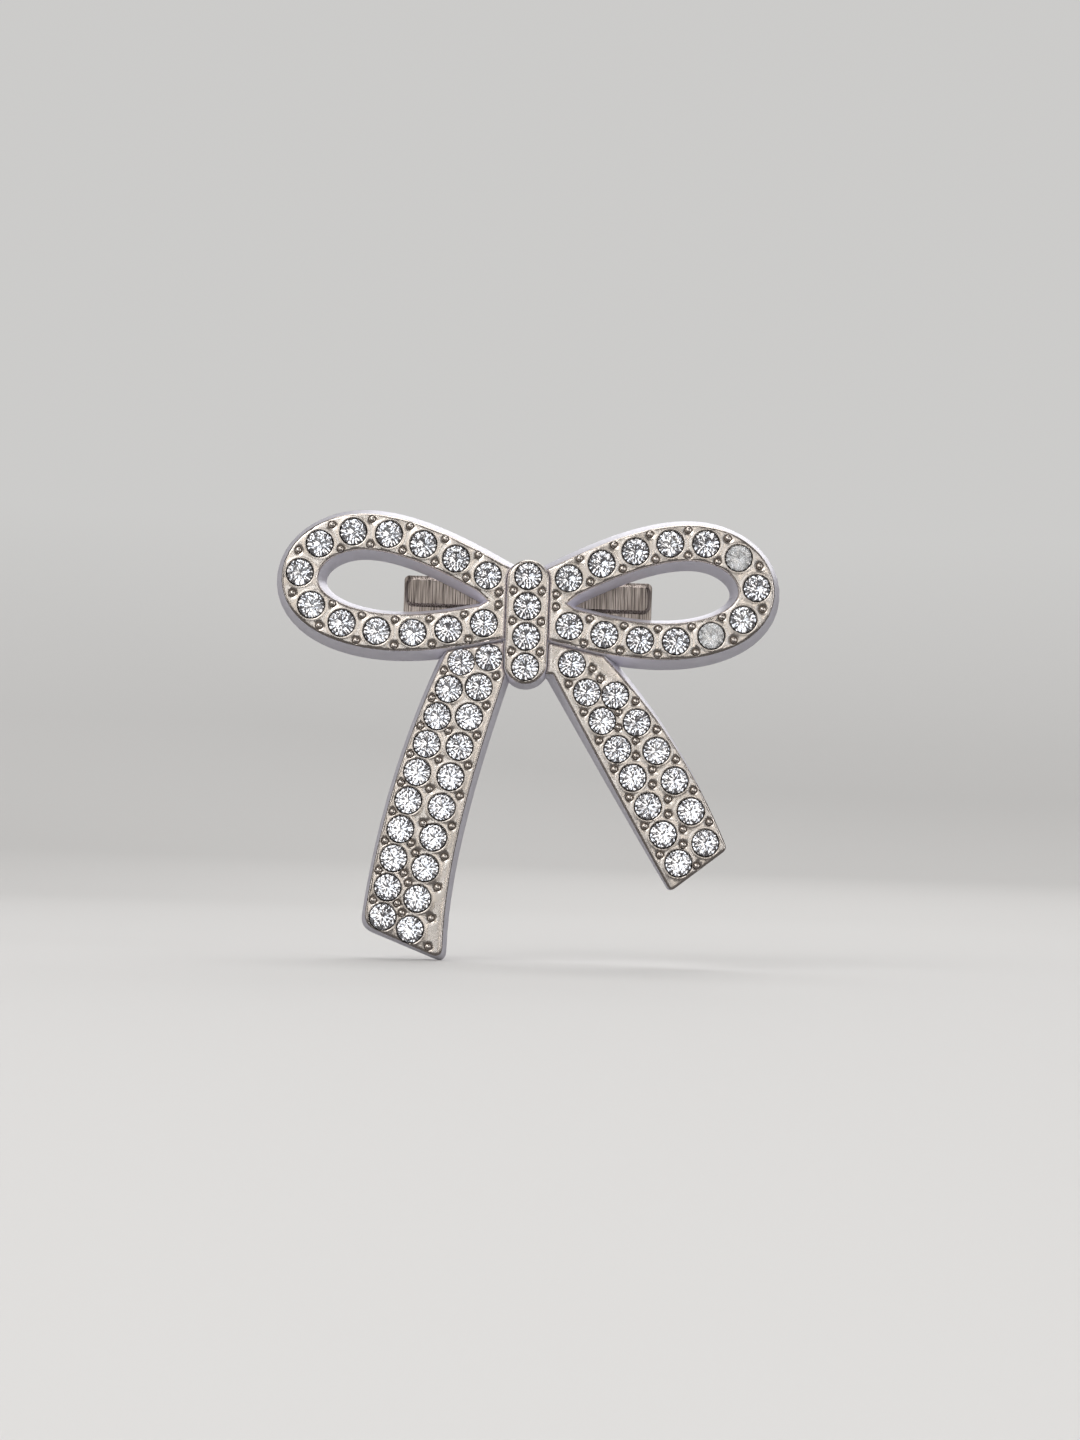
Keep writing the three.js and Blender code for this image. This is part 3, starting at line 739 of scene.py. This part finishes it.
def tail_beads(inner, outer, name):
    """Beads along both edges, between the columns where four stones meet, and at the ends."""
    side = SIDES[name]
    near, far = LEFT_TAIL_BEADS if name == "left" else (TAIL_BEAD_SIDE, TAIL_BEAD_SIDE)
    beads = []
    for i, (a, b) in enumerate(zip(inner, inner[1:])):
        reach = near + (far - near) * (i / (len(inner) - 2)) ** 2
        beads.append((a + b) / 2 - across(a, b) * side * reach)
    for a, b in zip(outer, outer[1:]):
        beads.append((a + b) / 2 + across(a, b) * side * TAIL_BEAD_SIDE)
    beads += [inner[-1] + np.array((side * out, up)) for out, up in END_BEADS[name]]
    if name == "right":
        beads += [inner[0] + np.array(place) for place in ROOT_BEADS]
        for a, b in zip(inner[1:], outer):
            beads += [(a + b) / 2 + np.array(place) for place in ROW_BEADS]
        return beads
    for i in range(len(outer) - 1):
        meeting = (inner[i] + inner[i + 1] + outer[i] + outer[i + 1]) / 4
        apart = np.array(TWIN_BEADS) * (i >= TWINS_FROM)
        beads += [meeting + apart, meeting - apart]
    return beads


def knot_beads(centres):
    beads = []
    for a, b in zip(centres, centres[1:]):
        middle = (a + b) / 2
        beads += [middle + across(a, b) * KNOT_BEAD_SIDE, middle - across(a, b) * KNOT_BEAD_SIDE]
    return beads


def clear_beads(beads, centres):
    """The beads that have room: off every seat, and apart from each other."""
    kept = []
    for bead in beads:
        room = min(np.linalg.norm(bead - c) for c in centres) > SEAT_RADIUS + BEAD_RADIUS + BEAD_SEAT_GAP
        apart = all(np.linalg.norm(bead - k) > 2 * BEAD_RADIUS + BEAD_GAP for k in kept)
        if room and apart:
            kept.append(bead)
    return kept


def build_castings():
    knot = [STONES[n][0] for n in stone_nodes("knot_stone")]
    casting("knot", knot, clear_beads(knot_beads(knot), knot))
    for name, side in SIDES.items():
        centres = [STONES[n][0] for n in stone_nodes(name + "_loop_stone")]
        casting(name + "_loop", centres, clear_beads(loop_beads(side, centres), centres))
        rows = [sorted(STONES[n], key=lambda c: side * c[0]) for n in stone_nodes(name + "_tail_stones")]
        inner = [row[0] for row in rows]
        outer = [row[1] for row in rows if len(row) > 1]
        centres = inner + outer
        beads = clear_beads(tail_beads(inner, outer, name), centres)
        casting(name + "_tail", centres, beads)


# ---------------------------------------------------------------- chatons
def polar(radius, eighths, height):
    """A point of a stone that faces -Y, with its angle in eighths of a turn."""
    angle = eighths * math.pi / 4
    return Vector((radius * math.cos(angle), -height, radius * math.sin(angle)))


def add_chaton(bm, centre, girdle_y, spin, tilt):
    """One stone: table, stars, mains and upper girdle facets in glass, and a foiled pavilion behind."""
    turn = Matrix.Rotation(spin, 4, "Y")
    lean = Matrix.Rotation(tilt[0], 4, "X") @ Matrix.Rotation(tilt[1], 4, "Z")
    place = Matrix.Translation((centre[0], girdle_y, centre[1])) @ lean @ turn

    def vert(radius, eighths, height):
        return bm.verts.new((place @ polar(radius, eighths, height)) * MM)

    half_cos = math.cos(math.pi / 8)
    star_height = STONE_CROWN * (1 - STAR_SHARE * half_cos) / (1 - TABLE_SHARE)
    lower_height = -STONE_GIRDLE - STONE_PAVILION * (1 - LOWER_SHARE * half_cos)
    table = [vert(TABLE_SHARE * STONE_RADIUS, k, STONE_CROWN) for k in range(8)]
    star = [vert(STAR_SHARE * STONE_RADIUS, k + 0.5, star_height) for k in range(8)]
    upper = [vert(STONE_RADIUS, k / 2, 0) for k in range(16)]
    lower = [vert(STONE_RADIUS, k / 2, -STONE_GIRDLE) for k in range(16)]
    deep = [vert(LOWER_SHARE * STONE_RADIUS, k + 0.5, lower_height) for k in range(8)]
    culet = vert(0, 0, -STONE_GIRDLE - STONE_PAVILION)

    glass = [table]
    foiled = []
    for k in range(8):
        after, girdle, half, ahead = (k + 1) % 8, 2 * k, 2 * k + 1, (2 * k + 2) % 16
        glass.append((table[k], star[k - 1], upper[girdle], star[k]))
        glass.append((table[k], star[k], table[after]))
        glass += [(star[k], upper[girdle], upper[half]), (star[k], upper[half], upper[ahead])]
        foiled.append((culet, deep[k], lower[girdle], deep[k - 1]))
        foiled += [(deep[k], lower[half], lower[girdle]), (deep[k], lower[ahead], lower[half])]
    for i in range(16):
        glass.append((upper[i], lower[i], lower[(i + 1) % 16], upper[(i + 1) % 16]))
    for corners in glass:
        bm.faces.new(corners).material_index = 0
    for corners in foiled:
        bm.faces.new(corners).material_index = 1


def build_stones():
    """A piece for each CAD stone node, with one stone or a row's two."""
    chance = random.Random(STONE_SEED)
    for node in sorted(STONES):
        girdle_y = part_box(node)[0].y / MM + STONE_CROWN - STONE_PROUD
        bm = bmesh.new()
        for centre in STONES[node]:
            tilt = [chance.uniform(-STONE_TILT, STONE_TILT) for _ in range(2)]
            add_chaton(bm, centre, girdle_y, chance.uniform(0, math.pi / 4), tilt)
        bmesh.ops.recalc_face_normals(bm, faces=bm.faces)
        milky = node in MILKY
        materials = (MILKY_CRYSTAL, DULL_FOIL) if milky else (CRYSTAL, FOIL)
        finished(node + "_cut", bm, materials, "brooch", node, STONE_SHARP)


# ---------------------------------------------------------------- bar pin
PIN_SHARP = 35  # degrees
BEVEL_ANGLE = 40  # degrees, from which an edge is broken


def eased(node, width, material, body):
    """The CAD solid with its sharp edges broken."""
    bm = bmesh.new()
    bm.from_mesh(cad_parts[node].data)
    bmesh.ops.remove_doubles(bm, verts=bm.verts, dist=CAD_WELD)
    bmesh.ops.dissolve_limit(bm, angle_limit=math.radians(1), verts=bm.verts, edges=bm.edges)
    piece = finished(node + "_eased", bm, (material,), body, node, PIN_SHARP)
    bevel = piece.modifiers.new("edges", "BEVEL")
    bevel.width = width * MM
    bevel.segments = 2
    bevel.limit_method = "ANGLE"
    bevel.angle_limit = math.radians(BEVEL_ANGLE)
    bevel.harden_normals = True


def build_pin():
    eased("bar_plate", 0.09, BRUSHED, "brooch")
    eased("hinge_bracket", 0.06, BRUSHED, "brooch")
    eased("catch_housing", 0.05, BRUSHED, "brooch")
    eased("hinge_rivet", 0.1, POLISHED, "brooch")
    eased("pin_stem", 0.06, POLISHED, "stem")
    eased("catch_roller", 0.04, POLISHED, "roller")


# ---------------------------------------------------------------- studio
CAMERA_DISTANCE = 240
CAMERA_BELOW = math.radians(3.5)
CAMERA_ROLL = math.radians(2.0)
VIEW_HEIGHT = 142.6  # of the frame, at the brooch's face
AIM = (1.65, 1.67)  # from the middle of the brooch's box, to the right and up
SENSOR_WIDTH = 36
SWEEP = ((0.1, 0.0), (0.3, 0.0), (0.42, 0.01), (0.5, 0.05), (0.54, 0.12), (0.55, 0.25), (0.55, 0.9))
SWEEP_SIDES = 96
PAPER = (0.68, 0.67, 0.66)
WALL_GLOW = (0.60, 0.595, 0.585, 1)
GLOW_HEIGHTS = (0.005, 0.12)  # metres above the floor, where the wall's glow starts and where it is full
WHITE = (1, 1, 1)
COOL = (0.96, 0.97, 1)
LIGHTS = (  # name, place from the brooch's middle and size in metres, brightness, colour
    ("key", (-0.20, -0.30, 0.26), (0.26, 0.2), 3.4, WHITE),
    ("front", (-0.19, -0.42, 0.06), (0.06, 0.26), 1.8, (1, 0.96, 0.9)),
    ("front", (-0.06, -0.42, 0.06), (0.06, 0.26), 1.8, (0.93, 0.97, 1)),
    ("front", (0.07, -0.42, 0.06), (0.06, 0.26), 1.8, (1, 0.97, 0.92)),
    ("front", (0.2, -0.42, 0.06), (0.06, 0.26), 1.8, (0.92, 0.96, 1)),
    ("right", (0.34, -0.14, 0.05), (0.1, 0.3), 3.0, COOL),
    ("left", (-0.36, -0.05, 0.02), (0.08, 0.3), 2.0, COOL),
    ("above", (0.0, 0.1, 0.4), (0.3, 0.3), 2.2, WHITE),
    ("behind", (0.1, 0.35, 0.2), (0.3, 0.2), 1.5, WHITE),
)
TENT_LIGHT = (0.11, 0.105, 0.105)
TENT_SEEN = (0.62, 0.61, 0.6)


def build_camera():
    low, high = CAD_BOX
    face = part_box("left_loop")[0].y
    aim = Vector(((low.x + high.x) / 2 + AIM[0] * MM, face, (low.z + high.z) / 2 + AIM[1] * MM))
    look = Vector((0, math.cos(CAMERA_BELOW), math.sin(CAMERA_BELOW)))
    data = bpy.data.cameras.new("camera")
    data.sensor_width = SENSOR_WIDTH
    data.lens = data.sensor_width * CAMERA_DISTANCE / VIEW_HEIGHT
    data.clip_start = 0.005
    camera = bpy.data.objects.new("camera", data)
    camera.location = aim - look * CAMERA_DISTANCE * MM
    turn = look.to_track_quat("-Z", "Y").to_matrix() @ Matrix.Rotation(CAMERA_ROLL, 3, "Z")
    camera.rotation_euler = turn.to_euler()
    bpy.context.scene.collection.objects.link(camera)
    bpy.context.scene.camera = camera


def softbox(name, place, size, brightness, colour):
    """An area light of even brightness that faces the brooch's middle."""
    low, high = CAD_BOX
    middle = (low + high) / 2
    data = bpy.data.lights.new(name, "AREA")
    data.shape = "RECTANGLE"
    data.size, data.size_y = size
    data.energy = brightness * math.pi * size[0] * size[1]
    data.color = colour
    lamp = bpy.data.objects.new(name, data)
    lamp.location = middle + Vector(place)
    lamp.rotation_euler = (middle - lamp.location).to_track_quat("-Z", "Y").to_euler()
    lamp.visible_camera = False
    bpy.context.scene.collection.objects.link(lamp)


def sweep_paper(floor_z):
    """Pale paper, whose walls glow so that they stay even behind the brooch."""
    material, tree, shader = node_material("studio_paper")
    shader.inputs["Roughness"].default_value = 0.85
    where = add_node(tree, "ShaderNodeTexCoord")
    split = add_node(tree, "ShaderNodeSeparateXYZ")
    tree.links.new(where.outputs["Object"], split.inputs["Vector"])
    start, end = GLOW_HEIGHTS
    wall = ranged(tree, split.outputs["Z"], 0, 1, floor_z + start, floor_z + end)
    tree.links.new(mixed(tree, wall, PAPER, (0, 0, 0)), shader.inputs["Base Color"])
    tree.links.new(wall, shader.inputs["Emission Strength"])
    shader.inputs["Emission Color"].default_value = WALL_GLOW
    return material


def build_sweep():
    """A pale floor that sweeps up into walls all round."""
    floor_z = CAD_BOX[0].z
    angles = [2 * math.pi * i / SWEEP_SIDES for i in range(SWEEP_SIDES)]
    bm = bmesh.new()
    rings = []
    for radius, height in SWEEP:
        corners = [(radius * math.cos(a), radius * math.sin(a), floor_z + height) for a in angles]
        rings.append([bm.verts.new(corner) for corner in corners])
    bm.faces.new(rings[0])
    for lower, upper in zip(rings, rings[1:]):
        for i in range(SWEEP_SIDES):
            j = (i + 1) % SWEEP_SIDES
            bm.faces.new((lower[i], upper[i], upper[j], lower[j]))
    mesh = bpy.data.meshes.new("studio_sweep")
    bm.to_mesh(mesh)
    bm.free()
    mesh.shade_smooth()
    mesh.materials.append(sweep_paper(floor_z))
    sweep = bpy.data.objects.new("studio_sweep", mesh)
    sweep.visible_glossy = False
    sweep.visible_transmission = False
    bpy.context.scene.collection.objects.link(sweep)


def build_lights():
    """Softboxes, and the dim even light of a small tent, which the camera sees as a pale backdrop."""
    for light in LIGHTS:
        softbox(*light)
    world = bpy.data.worlds.new("tent")
    world.use_nodes = True
    tree = world.node_tree
    path = add_node(tree, "ShaderNodeLightPath")
    tint = mixed(tree, path.outputs["Is Camera Ray"], TENT_LIGHT, TENT_SEEN)
    tree.links.new(tint, tree.nodes["Background"].inputs["Color"])
    bpy.context.scene.world = world
    bpy.context.scene.view_settings.view_transform = "Standard"


# ---------------------------------------------------------------- the scene
build_castings()
build_stones()
build_pin()
build_sweep()
build_lights()
build_camera()
